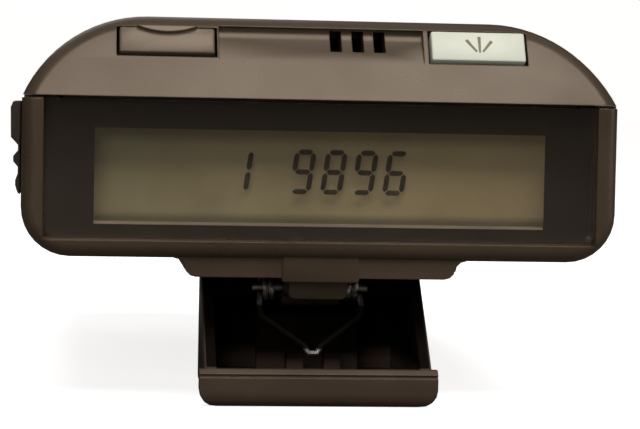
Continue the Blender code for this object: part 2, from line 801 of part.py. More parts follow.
def make_belt_clip():
    clip = rounded_channel("belt_clip", CLIP_HALF_WIDTH, -45, 25)
    clip.hide_render = False
    clip.display_type = "TEXTURED"
    file_under(clip, "pager", clip_plastic())
    outline = clip_side_outline(FRONT_Y + 0.3)
    trim = outline_solid("clip_trim", outline, "side", -20, 20, collection="cutters")
    plan = outline_solid("clip_taper", clip_plan(0), "top", -5, 20, collection="cutters")
    combine(clip, trim, "INTERSECT")
    combine(clip, plan, "INTERSECT")
    cavity = outline_solid(
        "clip_cavity", clip_cavity_outline(), "side", -20, 20, collection="cutters"
    )
    inside = outline_solid(
        "clip_inside", clip_plan(CLIP_SIDE), "top", -5, 25, collection="cutters"
    )
    combine(cavity, inside, "INTERSECT")
    cut(clip, cavity)
    for i, x in enumerate((-1.75, 1.75), 1):
        post = helper_box(f"spring_post_{i}", (x - 0.8, x + 0.8), (-33.2, -31.4), (1.2, 4.3))
        join(clip, post)
    join(clip, helper_box("clip_web", (-4.9, 4.9), (-27.3, -26.5), (1.2, 7.5)))
    join(clip, helper_box("belt_stop", (-9.4, 9.4), (-21.0, -20.2), (1.2, 10.5)))
    for i, side in enumerate((-1, 1), 1):
        boss = helper_rod(f"ear_boss_{i}", 1.25, (side * 7.45, PIN_Y, PIN_Z), "x", 3.9)
        join(clip, boss)
    break_edges(clip)
    join(clip, make_clip_lip())
    cut(clip, helper_rod("clip_bore", PIN_RADIUS + 0.02, (0, PIN_Y, PIN_Z), "x", 40))
    round_shading(clip)

    pin = rod("clip_pin", PIN_RADIUS, (0, PIN_Y, PIN_Z), "x", 2 * CLIP_HALF_WIDTH - 0.2, steel())
    carry(joint_empty("clip_pivot", (0, PIN_Y, PIN_Z)), clip, pin, make_clip_spring())


def make_clip_spring():
    """A double torsion spring: a coil on each side of the lug and a nose held between the two posts."""
    turns, steps, pitch = 2, 12, 0.6
    inner_x = LUG_HALF_WIDTH + 0.5

    def half(side):
        # The tail bears on the body behind the pin, and the coil then runs outwards along the pin.
        path = [(side * inner_x, PIN_Y + 5.6, 13.05)]
        for i in range(turns * steps + 9):
            angle = math.radians(110 - 360 * i / steps)
            x = side * (inner_x + pitch * i / steps)
            y = PIN_Y + COIL_RADIUS * math.cos(angle)
            path.append((x, y, PIN_Z + COIL_RADIUS * math.sin(angle)))
        outer_x = path[-1][0]
        path.append((outer_x, PIN_Y - 1.55, PIN_Z - 1.9))
        path.append((outer_x * 0.96, PIN_Y - 1.9, PIN_Z - 2.6))
        path.append((side * 0.75, PIN_Y - 4.2, 4.95))
        path.append((side * 0.4, PIN_Y - 4.3, 4.3))
        return path

    right = half(1)
    left = half(-1)
    return wire("clip_spring", right + left[::-1], WIRE_RADIUS, steel())


# ---------------------------------------------------------------- battery


def make_battery():
    steel_can = material("cell_jacket", (0.10, 0.13, 0.20), 0.35, 0.3)
    nub = 0.8
    length = CELL_LENGTH - nub
    middle = CELL_NEGATIVE_X + length / 2
    cell = rod("battery_cell", CELL_RADIUS, (middle, CELL_Y, CELL_Z), "x", length, steel_can, sides=32)
    round_edges(cell, 0.4, 2)
    tip = helper_rod(
        "cell_nub", 1.9, (CELL_NEGATIVE_X + CELL_LENGTH - 1.0, CELL_Y, CELL_Z), "x", 2.0, 20
    )
    join(cell, tip)

    turns, steps = 3.5, 10
    count = int(turns * steps)
    path = []
    for i in range(count + 1):
        share = i / count
        angle = 2 * math.pi * turns * share
        radius = 3.6 - 1.2 * share
        x = -24.7 + 3.2 * share
        path.append((x, CELL_Y + radius * math.cos(angle), CELL_Z + radius * math.sin(angle)))
    wire("negative_contact_spring", path, 0.25, steel())

    leaf = [
        (25.2, CELL_Z - 4.0),
        (25.2, CELL_Z + 4.0),
        (24.9, CELL_Z + 4.0),
        (24.9, CELL_Z + 2.6),
        (23.85, CELL_Z + 0.8),
        (23.85, CELL_Z - 0.8),
        (24.9, CELL_Z - 2.6),
        (24.9, CELL_Z - 4.0),
    ]
    outline_solid("positive_contact_leaf", leaf, "end", CELL_Y - 2.5, CELL_Y + 2.5, steel())


# ---------------------------------------------------------------- electronics


def make_boards():
    half = BOARD_HALF_WIDTH
    box("main_board", (-half, half), (-30, BOARD_REAR_Y), MAIN_BOARD_Z, board_green())
    box("receiver_board", (-half, half), (-26, BOARD_REAR_Y), RECEIVER_BOARD_Z, board_green())
    top = MAIN_BOARD_Z[1] + 0.05
    box("controller_chip", (-8, 4), (-10, 2), (top, top + 1.6), chip_black())
    box("decoder_chip", (-8, 2), (7, 17), (top, top + 1.5), chip_black())
    crystal = box("crystal_can", (8, 18), (-2, 2), (top, top + 3.0), steel())
    round_edges(crystal, 1.2, 3)
    low = RECEIVER_BOARD_Z[1] + 0.05
    box("board_connector", (-6, 6), (20.5, 22.9), (low, MAIN_BOARD_Z[0] - 0.05), chip_black())
    shield = box("shield_can", (1, 17), (-22, -4), (low, low + 4.2), steel())
    cut(shield, helper_box("shield_inside", (1.4, 16.6), (-21.6, -4.4), (10, low + 3.8)))
    antenna = outline_solid(
        "loop_antenna",
        [(-18, 19.3), (16.5, 19.3), (16.5, 31.0), (-18, 31.0)],
        "side",
        20.8,
        21.3,
        material("antenna_copper", (0.65, 0.38, 0.18), 0.35, 1.0),
    )
    cut(antenna, helper_box("antenna_hole", (18, 24), (-16.8, 15.3), (20.5, 29.8)))
    tab = helper_box("antenna_tab", (18.4, 21.0), (-15, -13), (19.35, 19.9))
    join(antenna, tab)


def make_sounder():
    centre = (3.8, -21.5)
    rod("sounder", 6.0, (*centre, 31.0), "z", 3.6, chip_black(), sides=32)
    seal = rod(
        "sounder_seal",
        5.6,
        (*centre, 33.1),
        "z",
        0.5,
        material("seal_rubber", (0.03, 0.03, 0.03), 0.8),
        sides=32,
    )
    cut(seal, helper_rod("seal_hole", 4.2, (*centre, 33.1), "z", 2, 32))


def make_vibrator():
    """The silent-alert motor: its can in a cradle, and an off-centre weight on its shaft."""
    front, rear = MOTOR_Y
    middle = (MOTOR_X, (front + rear) / 2, MOTOR_Z)
    rod("vibrator_motor", MOTOR_RADIUS, middle, "y", rear - front, steel())
    cradle = box(
        "vibrator_cradle",
        (MOTOR_X - 3.3, MOTOR_X + 3.3),
        (front + 1.5, rear - 1.5),
        (RECEIVER_BOARD_Z[1] + 0.05, MOTOR_Z - 0.2),
        material("cradle_rubber", (0.05, 0.05, 0.05), 0.8),
    )
    cut(cradle, helper_rod("cradle_groove", MOTOR_RADIUS + 0.08, middle, "y", 20))
    shaft = rod(
        "vibrator_shaft", 0.4, (MOTOR_X, rear + 2.55, MOTOR_Z), "y", 5.0, steel(), sides=12
    )
    weight_outline = arc((MOTOR_X, MOTOR_Z), 2.3, -180, 0, 10) + arc(
        (MOTOR_X, MOTOR_Z), 0.95, 20, 160, 4
    )
    weight = outline_solid(
        "vibrator_weight",
        weight_outline,
        "end",
        rear + 1.2,
        rear + 4.6,
        material("weight_tungsten", (0.40, 0.40, 0.41), 0.4, 1.0),
    )
    bore = helper_rod("weight_bore", 0.42, (MOTOR_X, rear + 2.5, MOTOR_Z), "y", 12, 12)
    cut(weight, bore)
    carry(joint_empty("vibrator_axis", (MOTOR_X, rear, MOTOR_Z)), shaft, weight)


def make_screws():
    for i, (x, y) in enumerate(screw_places(), 1):
        screw = rod(f"housing_screw_{i}", SCREW_RADIUS, (x, y, 22.6), "z", 14.6, steel(), sides=16)
        head = helper_rod(f"screw_head_{i}", 1.9, (x, y, 15.1), "z", 1.6)
        slot = helper_box(f"screw_slot_{i}", (x - 2.5, x + 2.5), (y - 0.2, y + 0.2), (13, 14.8))
        join(screw, head)
        cut(screw, slot)


def main():
    clear_scene()
    make_upper_housing()
    make_lower_housing()
    door = make_battery_door()
    carry(joint_empty("battery_door_slide", (0, DOOR_FRONT_Y, BOTTOM_Z)), door)
    make_display()
    dark, pale = (0.075, 0.060, 0.050), (0.78, 0.80, 0.72)
    function_key = make_key("function", FUNCTION_KEY_X, FUNCTION_KEY_UP, material("key_dark", dark, 0.5))
    join(function_key, make_nail_ledge(sum(FUNCTION_KEY_X) / 2))
    make_key("read", READ_KEY_X, READ_KEY_UP, material("key_white", pale, 0.45))
    make_key_board()
    make_side_switch()
    make_belt_clip()
    make_battery()
    make_boards()
    make_sounder()
    make_vibrator()
    make_screws()


main()
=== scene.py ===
"""Looks for the pocket pager: a finish for every CAD piece, the display's parts, and a studio.

The frame is the CAD's own: +X runs along the display, +Y runs away from it, +Z is up, and the pager stands on
its belt clip at Z = 0. Sizes and places on the pager are in millimetres, and MM turns them into Blender's
metres. The studio's sizes are in metres.
"""

import math

import bmesh
import bpy
from mathutils import Matrix, Vector

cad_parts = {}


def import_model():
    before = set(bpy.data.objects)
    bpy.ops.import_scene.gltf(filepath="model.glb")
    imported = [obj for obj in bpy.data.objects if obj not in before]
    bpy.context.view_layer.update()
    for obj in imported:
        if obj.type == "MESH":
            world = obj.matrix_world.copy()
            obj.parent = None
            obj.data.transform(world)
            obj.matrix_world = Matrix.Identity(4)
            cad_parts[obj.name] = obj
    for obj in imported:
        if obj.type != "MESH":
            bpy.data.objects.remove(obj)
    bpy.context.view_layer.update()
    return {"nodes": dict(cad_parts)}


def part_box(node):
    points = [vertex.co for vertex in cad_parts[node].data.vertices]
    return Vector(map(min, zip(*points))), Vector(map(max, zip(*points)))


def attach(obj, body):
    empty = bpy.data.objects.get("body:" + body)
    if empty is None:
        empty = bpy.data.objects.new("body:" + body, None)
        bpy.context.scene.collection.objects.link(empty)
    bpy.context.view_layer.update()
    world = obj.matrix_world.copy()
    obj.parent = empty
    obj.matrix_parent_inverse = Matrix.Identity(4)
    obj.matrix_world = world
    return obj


MM = 0.001

# Shading of the CAD pieces. Those in the shadowless slots are clear, so light reaches what is behind them.
WELD_DISTANCE = 1e-6
SHARP_ANGLE = math.radians(32)
SHADOWLESS = ("smoked_window", "display_glass")

# Bands that the finishes read as none and full: of a noise, of the cosine at a rounded edge, and of the
# openness in a corner. The samples are those of one bevel or occlusion node.
NOISE_BAND = (0.3, 0.7)
EDGE_BAND = (0.99, 0.80)
CREVICE_BAND = (0.75, 0.25)
NODE_SAMPLES = 6

# Moulded plastic: tints as factors on its own colour, and the warm tint of its shine.
CLOUD_TINTS = (0.86, 1.14)
GRAIN_TINT = 1.5
RUB_TINT = 2.2
# The next three tints are painted light: shade in corners, a highlight on worn edges along with their wear,
# and shade inside the clip.
CORNER_SHADE_TINT = 0.45
WEAR_AND_HIGHLIGHT_TINT = 2.6
SHADE_TINT = 0.08
WARM_SHINE = (1.0, 0.84, 0.68, 1.0)

# Places where a finish changes, as where the change starts and where it is complete.
# The clip's inside, where shade is painted: between its sides, behind and above its thumb lip, and short of
# its tip.
CLIP_SIDE_X = (10.25, 10.15)
CLIP_BEHIND_LIP_Y = (-37.9, -37.6)
CLIP_RAISED_Z = (2.4, 4.0)
CLIP_ABOVE_LIP_Z = (3.46, 3.6)
CLIP_FRONT_Y = (-36.0, -37.0)
CLIP_BEFORE_TIP_Y = (-14.0, -18.0)
# Heights where the spring's painted highlight on bare metal begins and is full: up at its coil and down at
# its nose.
SPRING_COIL_Z = (8.4, 9.0)
SPRING_NOSE_Z = (4.75, 4.45)
# The reflector's painted light runs from its dim left colour to its lit right colour across this span; it
# darkens along its foot.
REFLECTOR_X = (-16.0, 18.0)
REFLECTOR_FOOT_Z = (17.4, 16.7)

# Display: the printed mask behind the window, the sill below it and the digits in the liquid crystal layer.
MASK_HALF_WIDTH = 24.8
MASK_Z = (15.3, 27.4)
OPENING_HALF_WIDTH = 20.5
OPENING_Z = (16.3, 24.95)
MASK_GAP = 0.03
MASK_THICKNESS = 0.06
SILL_Z = (16.3, 16.56)
SILL_FRONT_HEIGHT = 0.03
SILL_CHAMFER = 0.22
SILL_DEPTH = 0.45
SLOT_COUNT = 12
SLOT_PITCH = 2.87
DIGIT_WIDTH = 2.0
DIGIT_Z = (19.15, 23.25)
DIGIT_SLANT = math.tan(math.radians(8))
DIGIT_SHIFT = 0.35
STROKE = 0.47
STROKE_GAP = 0.07
INK_GAP = 0.012
INK_THICKNESS = 0.02
INK_STRENGTH = 0.66
SHOWN_DIGITS = {3: "1", 5: "9", 6: "8", 7: "9", 8: "6"}
SEGMENTS = {"1": "bc", "6": "afgedc", "8": "abcdefg", "9": "abcdfg"}

# The brow that the keys sit in: the foot of its slope, and the directions up the slope and out of it.
BROW_SLOPE = math.radians(60)
BROW_FOOT = Vector((0, -39.0, 27.65))
BROW_UP = Vector((0, math.cos(BROW_SLOPE), math.sin(BROW_SLOPE)))
BROW_OUT = Vector((0, -math.sin(BROW_SLOPE), math.cos(BROW_SLOPE)))
KEY_PROUD = 0.35

# Arrow printed on the white key: strokes from thick end to thin end, each end as (x, distance up the slope).
PRINT_THICKNESS = 0.025
ARROW_STROKES = (
    ((13.18, 6.60), (14.10, 5.38)),
    ((14.38, 6.95), (14.38, 5.30)),
    ((15.52, 6.52), (14.66, 5.38)),
)
ARROW_WIDTH = (0.30, 0.17)

# Camera.
CAMERA_PLACE = (-22.0, -247.3, 27.8)
CAMERA_YAW = math.radians(5.96)
CAMERA_PITCH = math.radians(2.81)
CAMERA_ROLL = math.radians(1.14)
CAMERA_SENSOR = 36.0
CAMERA_LENS = 131.2
CAMERA_NEAR = 0.001
CAMERA_FAR = 20.0

# Studio: the paper's two tones and its glow, the surround, and the lights in metres and watts.
PAPER_TONES = ((0.90, 0.895, 0.885, 1.0), (0.93, 0.925, 0.915, 1.0))
PAPER_UNSEEN = (0.16, 0.155, 0.15, 1.0)
PAPER_GLOW = 0.91
SURROUND_SEEN = (0.93, 0.925, 0.915)
SURROUND_AMBIENT = (0.05, 0.049, 0.047)
LIGHTS = {
    "key_light": {
        "place": (0.08, -0.53, 0.85), "target": (0, -0.03, 0.03), "size": (0.80, 0.55), "power": 6.8,
        "colour": (1.0, 0.965, 0.92)},
    "front_fill": {
        "place": (-0.25, -0.80, 0.28), "target": (0, 0, 0.02), "size": (0.35, 0.30), "power": 1.0,
        "colour": (1.0, 0.98, 0.95)},
    "right_edge": {
        "place": (0.70, -0.30, 0.25), "target": (0, 0, 0.02), "size": (0.25, 0.40), "power": 1.1,
        "colour": (1.0, 0.97, 0.93)},
    "back_fill": {
        "place": (-0.15, 0.80, 0.60), "target": (0, 0, 0.02), "size": (0.5, 0.5), "power": 0.6,
        "colour": (0.97, 0.98, 1.0)},
    "floor_wash": {
        "place": (0.0, 0.60, 1.30), "target": (0, 0.60, 0), "size": (1.6, 1.2), "power": 1.2,
        "colour": (1.0, 1.0, 1.0)},
}


# ---------------------------------------------------------------- node graphs


class Graph:
    """A material's node tree written as calls, where an input is a value or another node's output."""

    def __init__(self, name):
        self.material = bpy.data.materials.new(name)
        self.material.use_nodes = True
        self.tree = self.material.node_tree
        self.tree.nodes.clear()
        self.place = self.add("ShaderNodeTexCoord").outputs["Object"]

    def add(self, kind, inputs=None, **settings):
        node = self.tree.nodes.new(kind)
        for key, value in settings.items():
            setattr(node, key, value)
        for key, value in (inputs or {}).items():
            self.feed(node.inputs[key], value)
        return node

    def feed(self, socket, value):
        if isinstance(value, bpy.types.NodeSocket):
            self.tree.links.new(value, socket)
        else:
            socket.default_value = value

    def noise(self, size, detail=2.0, stretch=(1, 1, 1)):
        """Noise from 0 to 1 with features about size millimetres across, drawn out by stretch."""
        scale = tuple(1 / factor for factor in stretch)
        place = self.add("ShaderNodeMapping", {"Vector": self.place, "Scale": scale}).outputs[0]
        node = self.add("ShaderNodeTexNoise", {"Vector": place, "Scale": 1 / (size * MM), "Detail": detail})
        return node.outputs["Fac"]

    def specks(self, size, share):
        """1 on scattered round specks, one in each cell of about size millimetres, and 0 elsewhere."""
        node = self.add("ShaderNodeTexVoronoi", {"Vector": self.place, "Scale": 1 / (size * MM)})
        return self.ramp(node.outputs["Distance"], share, share * 0.5)

    def ramp(self, value, low, high, to_low=0.0, to_high=1.0):
        node = self.add("ShaderNodeMapRange", {
            "Value": value, "From Min": low, "From Max": high, "To Min": to_low, "To Max": to_high})
        return node.outputs["Result"]

    def spread(self, noise, to_low=0.0, to_high=1.0):
        """The usual band of a noise, stretched from to_low to to_high."""
        return self.ramp(noise, *NOISE_BAND, to_low, to_high)

    def fade(self, value, change):
        """0 where a change in millimetres starts and 1 where it is complete, for a value in metres."""
        start, complete = change
        return self.ramp(value, start * MM, complete * MM)

    def math(self, operation, a, b):
        return self.add("ShaderNodeMath", {0: a, 1: b}, operation=operation).outputs[0]

    def times(self, a, b):
        return self.math("MULTIPLY", a, b)

    def mix(self, factor, a, b):
        node = self.add("ShaderNodeMix", {0: factor, 6: a, 7: b}, data_type="RGBA")
        return node.outputs[2]

    def bump(self, height, distance, strength, normal=None):
        """The normal of a surface raised by up to distance millimetres."""
        inputs = {"Height": height, "Distance": distance * MM, "Strength": strength}
        if normal is not None:
            inputs["Normal"] = normal
        return self.add("ShaderNodeBump", inputs).outputs["Normal"]

    def rounded(self, radius):
        """The surface normal with edges turned over by that radius in millimetres."""
        return self.add("ShaderNodeBevel", {"Radius": radius * MM}, samples=NODE_SAMPLES).outputs["Normal"]

    def edges(self, rounded):
        """0 on flat areas, rising to 1 where the rounded normal leaves the true one."""
        true = self.add("ShaderNodeNewGeometry").outputs["Normal"]
        cosine = self.add("ShaderNodeVectorMath", {0: rounded, 1: true}, operation="DOT_PRODUCT")
        return self.ramp(cosine.outputs["Value"], *EDGE_BAND)

    def crevices(self, reach):
        """1 in corners and gaps closer than reach millimetres, 0 in the open."""
        node = self.add("ShaderNodeAmbientOcclusion", {"Distance": reach * MM}, samples=NODE_SAMPLES)
        return self.ramp(node.outputs["AO"], *CREVICE_BAND)

    def axis(self, name):
        return self.add("ShaderNodeSeparateXYZ", {0: self.place}).outputs[name]

    def shader(self, kind, inputs=None):
        return self.add(kind, inputs).outputs[0]

    def mix_shaders(self, factor, a, b):
        return self.shader("ShaderNodeMixShader", {0: factor, 1: a, 2: b})

    def surface(self, shader):
        self.feed(self.add("ShaderNodeOutputMaterial").inputs["Surface"], shader)
        return self.material

    def principled(self, **inputs):
        named = {key.replace("_", " ").title().replace("Ior", "IOR"): value for key, value in inputs.items()}
        return self.surface(self.shader("ShaderNodeBsdfPrincipled", named))


def tinted(colour, factor):
    return tuple(min(1.0, channel * factor) for channel in colour[:3]) + (1.0,)


# ---------------------------------------------------------------- finishes


def moulded_plastic(name, colour, roughness, grain=0.16, depth=0.004, wear_and_highlight=0.45, corner_shade=0.25, specular=0.5,
                    turn=0.16, shade=None):
    """Moulded plastic with an eroded grain, faint rubs, painted shade in the corners, and edges polished by
    handling and made paler, partly as wear and partly as a painted highlight.

    The grain's size and depth and the edges' turn are in millimetres. A shade is a function that marks where
    shade is painted.
    """
    g = Graph(name)
    rounded = g.rounded(turn)
    worn_and_lit_edges = g.times(g.edges(rounded), g.ramp(g.noise(1.7, detail=3), 0.35, 0.62))
    cloudy = g.noise(7, detail=4)
    fine = g.noise(grain, detail=2)
    rubs = g.ramp(g.noise(1.6, detail=3, stretch=(9, 1, 1)), 0.62, 0.78)
    body = g.mix(g.spread(cloudy), *(tinted(colour, tint) for tint in CLOUD_TINTS))
    body = g.mix(g.spread(fine, 0.0, 0.35), body, tinted(colour, GRAIN_TINT))
    body = g.mix(g.times(rubs, 0.12), body, tinted(colour, RUB_TINT))
    # Painted shade: darker in corners and gaps, where less light reaches.
    body = g.mix(g.times(g.crevices(0.9), corner_shade), body, tinted(colour, CORNER_SHADE_TINT))
    # Edges made paler: partly wear, partly a painted highlight along the edges.
    body = g.mix(g.times(worn_and_lit_edges, wear_and_highlight), body, tinted(colour, WEAR_AND_HIGHLIGHT_TINT))
    rough = g.spread(cloudy, roughness - 0.05, roughness + 0.05)
    rough = g.math("SUBTRACT", rough, g.times(worn_and_lit_edges, 0.12))
    # Painted shade: darkened and made matt where the shade function marks.
    if shade:
        shaded = shade(g)
        body = g.mix(shaded, body, tinted(colour, SHADE_TINT))
        rough = g.math("ADD", rough, g.times(shaded, 0.35))
        specular = g.ramp(shaded, 0.0, 1.0, specular, 0.05)
    uneven = g.bump(g.noise(2.5, detail=2), 0.02, 0.25, rounded)
    normal = g.bump(fine, depth, 0.7, uneven)
    return g.principled(base_color=body, roughness=rough, normal=normal, specular_ior_level=specular,
                        specular_tint=WARM_SHINE)


def clip_inside_shade(g):
    """1 between the clip's sides and behind its thumb lip, where shade is painted and the plastic is made
    matt.
    """
    along = g.axis("Y")
    height = g.axis("Z")
    between = g.fade(g.math("ABSOLUTE", g.axis("X"), 0.0), CLIP_SIDE_X)
    raised = g.times(g.fade(along, CLIP_BEHIND_LIP_Y), g.fade(height, CLIP_RAISED_Z))
    above_lip = g.times(g.fade(height, CLIP_ABOVE_LIP_Z), g.fade(along, CLIP_FRONT_Y))
    dark = g.math("MAXIMUM", raised, above_lip)
    return g.times(g.times(between, dark), g.fade(along, CLIP_BEFORE_TIP_Y))


def glossy_plastic(name, colour, roughness):
    """Smooth plastic with flow marks, fine scratches, slightly paler edges and painted corner shade."""
    g = Graph(name)
    rounded = g.rounded(0.14)
    cloudy = g.noise(4, detail=4)
    scratches = g.ramp(g.noise(0.35, detail=2, stretch=(14, 1, 1)), 0.66, 0.74)
    body = g.mix(g.spread(cloudy), tinted(colour, 0.94), tinted(colour, 1.05))
    body = g.mix(g.times(g.edges(rounded), 0.25), body, tinted(colour, 1.25))
    # Painted shade: darker in corners and gaps, where less light reaches.
    body = g.mix(g.times(g.crevices(0.6), 0.35), body, tinted(colour, 0.55))
    rough = g.spread(cloudy, roughness - 0.04, roughness + 0.06)
    rough = g.math("ADD", rough, g.times(scratches, 0.15))
    uneven = g.bump(g.noise(0.5), 0.004, 0.5, rounded)
    normal = g.bump(scratches, 0.003, 0.4, uneven)
    return g.principled(base_color=body, roughness=rough, normal=normal)


def metal(name, colour, roughness, brush=(1, 1, 12), tarnish=(0.30, 0.26, 0.20)):
    """Metal with drawing marks along one direction, tarnish in patches and bright edges."""
    g = Graph(name)
    rounded = g.rounded(0.08)
    marks = g.noise(0.12, detail=3, stretch=brush)
    patches = g.ramp(g.noise(1.4, detail=4), 0.48, 0.72, 0.0, 0.45)
    body = g.mix(g.spread(marks), tinted(colour, 0.82), tinted(colour, 1.08))
    body = g.mix(patches, body, (*tarnish, 1.0))
    body = g.mix(g.times(g.edges(rounded), 0.6), body, tinted(colour, 1.3))
    rough = g.spread(marks, roughness - 0.06, roughness + 0.08)
    rough = g.math("ADD", rough, g.times(patches, 0.3))
    normal = g.bump(marks, 0.002, 0.6, rounded)
    return g.principled(base_color=body, metallic=1.0, roughness=rough, normal=normal)


def spring_wire(name):
    """Blackened spring wire, its black partly painted shade, with bare metal and a painted highlight where it
    turns round the pin and at its nose between the posts.
    """
    g = Graph(name)
    rounded = g.rounded(0.05)
    height = g.axis("Z")
    # Painted highlight: bright bare metal at the coil round the pin and at the nose; elsewhere near black,
    # partly as painted shade.
    bare_and_highlit = g.math("MAXIMUM", g.fade(height, SPRING_COIL_Z), g.fade(height, SPRING_NOSE_Z))
    bare_and_highlit = g.times(bare_and_highlit, g.ramp(g.noise(0.3, detail=3), 0.25, 0.5))
    marks = g.spread(g.noise(0.1, detail=3))
    black = g.mix(marks, (0.010, 0.009, 0.008, 1.0), (0.022, 0.018, 0.015, 1.0))
    bright = g.mix(marks, (0.62, 0.60, 0.56, 1.0), (0.80, 0.78, 0.74, 1.0))
    rough = g.ramp(bare_and_highlit, 0.0, 1.0, 0.6, 0.28)
    normal = g.bump(marks, 0.002, 0.5, rounded)
    return g.principled(base_color=g.mix(bare_and_highlit, black, bright), metallic=bare_and_highlit, roughness=rough,
                        specular_ior_level=0.08, normal=normal)


def rubbery(name, colour):
    """Matt rubber with a fine grain and pale specks of dust."""
    g = Graph(name)
    body = g.mix(g.spread(g.noise(1.5, detail=4)), tinted(colour, 0.8), tinted(colour, 1.3))
    body = g.mix(g.specks(0.5, 0.12), body, tinted(colour, 2.4))
    normal = g.bump(g.noise(0.09, detail=3), 0.006, 0.8, g.rounded(0.1))
    return g.principled(base_color=body, roughness=0.82, normal=normal)


def circuit_board(name, colour, copper):
    """Solder mask with tracks showing under it as a grid of slightly raised, paler lines, and copper pads."""
    g = Graph(name)
    black = (0, 0, 0, 1)
    brick = g.add("ShaderNodeTexBrick", {
        "Vector": g.place, "Scale": 1 / (5.2 * MM), "Mortar Size": 0.035, "Mortar Smooth": 0.1,
        "Color1": black, "Color2": black, "Mortar": (1, 1, 1, 1)})
    tracks = brick.outputs["Fac"]
    body = g.mix(g.spread(g.noise(3, detail=4)), tinted(colour, 0.8), tinted(colour, 1.2))
    body = g.mix(g.times(tracks, 0.6), body, tinted(colour, 1.9))
    body = g.mix(g.specks(1.9, 0.16), body, (*copper, 1.0))
    rough = g.spread(g.noise(0.4), 0.3, 0.45)
    normal = g.bump(tracks, 0.02, 0.6, g.rounded(0.05))
    return g.principled(base_color=body, roughness=rough, normal=normal)


def smoked_window(name, tint):
    """Tinted clear plastic under a hard coat that reflects the studio, with smears and hairline rubs."""
    g = Graph(name)
    rounded = g.rounded(0.06)
    rubs = g.ramp(g.noise(0.45, detail=2, stretch=(16, 1, 3)), 0.64, 0.76)
    smear = g.ramp(g.noise(9, detail=3), 0.35, 0.7)
    rough = g.math("ADD", g.ramp(smear, 0, 1, 0.05, 0.12), g.times(rubs, 0.08))
    tone = g.mix(smear, (*tint, 1.0), tinted(tint, 0.93))
    through = g.shader("ShaderNodeBsdfTransparent", {"Color": tone})
    white = (1.0, 1.0, 1.0, 1.0)
    shine = g.shader("ShaderNodeBsdfGlossy", {"Color": white, "Roughness": rough, "Normal": rounded})
    haze = g.shader("ShaderNodeBsdfDiffuse", {"Color": (0.055, 0.045, 0.036, 1.0)})
    mirrored = g.shader("ShaderNodeFresnel", {"IOR": 1.49, "Normal": rounded})
    return g.surface(g.mix_shaders(mirrored, g.mix_shaders(0.05, through, haze), shine))


def display_glass(name, tint):
    """Thin glass of the display cell, almost clear."""
    g = Graph(name)
    tone = g.mix(g.spread(g.noise(6, detail=3)), (*tint, 1.0), tinted(tint, 0.98))
    through = g.shader("ShaderNodeBsdfTransparent", {"Color": tone})
    normal = g.bump(g.noise(2), 0.002, 0.3)
    shine = g.shader("ShaderNodeBsdfGlossy", {"Roughness": 0.12, "Normal": normal})
    mirrored = g.shader("ShaderNodeFresnel", {"IOR": 1.3})
    return g.surface(g.mix_shaders(mirrored, through, shine))


def display_reflector(name, left, right):
    """Brushed film behind the liquid crystal, darker along its lower edge, with painted light: paler towards
    its right end as if lit from that side, and a faint painted glow.
    """
    g = Graph(name)
    grain = g.noise(0.12, detail=3, stretch=(5, 1, 1))
    # Painted light: from the dim colour at the left end to the lit colour at the right end.
    body = g.mix(g.fade(g.axis("X"), REFLECTOR_X), (*left, 1.0), (*right, 1.0))
    body = g.mix(g.ramp(g.noise(5, detail=3), 0.35, 0.75, 0.0, 0.16), body, tinted(right, 0.7))
    body = g.mix(g.spread(grain, 0.0, 0.14), body, tinted(left, 0.6))
    body = g.mix(g.fade(g.axis("Z"), REFLECTOR_FOOT_Z), body, tinted(left, 0.45))
    normal = g.bump(grain, 0.002, 0.5)
    # Painted glow: the film gives off a little light in its own colour.
    return g.principled(base_color=body, roughness=0.6, metallic=0.1, normal=normal,
                        emission_color=body, emission_strength=0.08)


def liquid_crystal(name, strength):
    """The darkening of a lit segment: partly see-through ink of slightly uneven density."""
    g = Graph(name)
    density = g.spread(g.noise(0.5, detail=3), strength * 0.85, strength)
    tone = g.mix(g.noise(0.8), (0.012, 0.009, 0.006, 1.0), (0.020, 0.016, 0.010, 1.0))
    ink = g.shader("ShaderNodeBsdfDiffuse", {"Color": tone})
    return g.surface(g.mix_shaders(density, g.shader("ShaderNodeBsdfTransparent"), ink))


def studio_paper(name):
    """Pale paper lit from within. It throws little light back at the pager, and isn't drawn from behind."""
    g = Graph(name)
    tone = g.mix(g.spread(g.noise(250, detail=3)), *PAPER_TONES)
    normal = g.bump(g.noise(1.5, detail=2), 0.03, 0.15)
    seen = g.add("ShaderNodeLightPath").outputs["Is Camera Ray"]
    matt = g.shader("ShaderNodeBsdfDiffuse", {"Color": g.mix(seen, PAPER_UNSEEN, tone), "Normal": normal})
    glow = g.shader("ShaderNodeEmission", {"Color": tone, "Strength": g.times(seen, PAPER_GLOW)})
    paper = g.shader("ShaderNodeAddShader", {0: matt, 1: glow})
    behind = g.add("ShaderNodeNewGeometry").outputs["Backfacing"]
    return g.surface(g.mix_shaders(behind, paper, g.shader("ShaderNodeBsdfTransparent")))


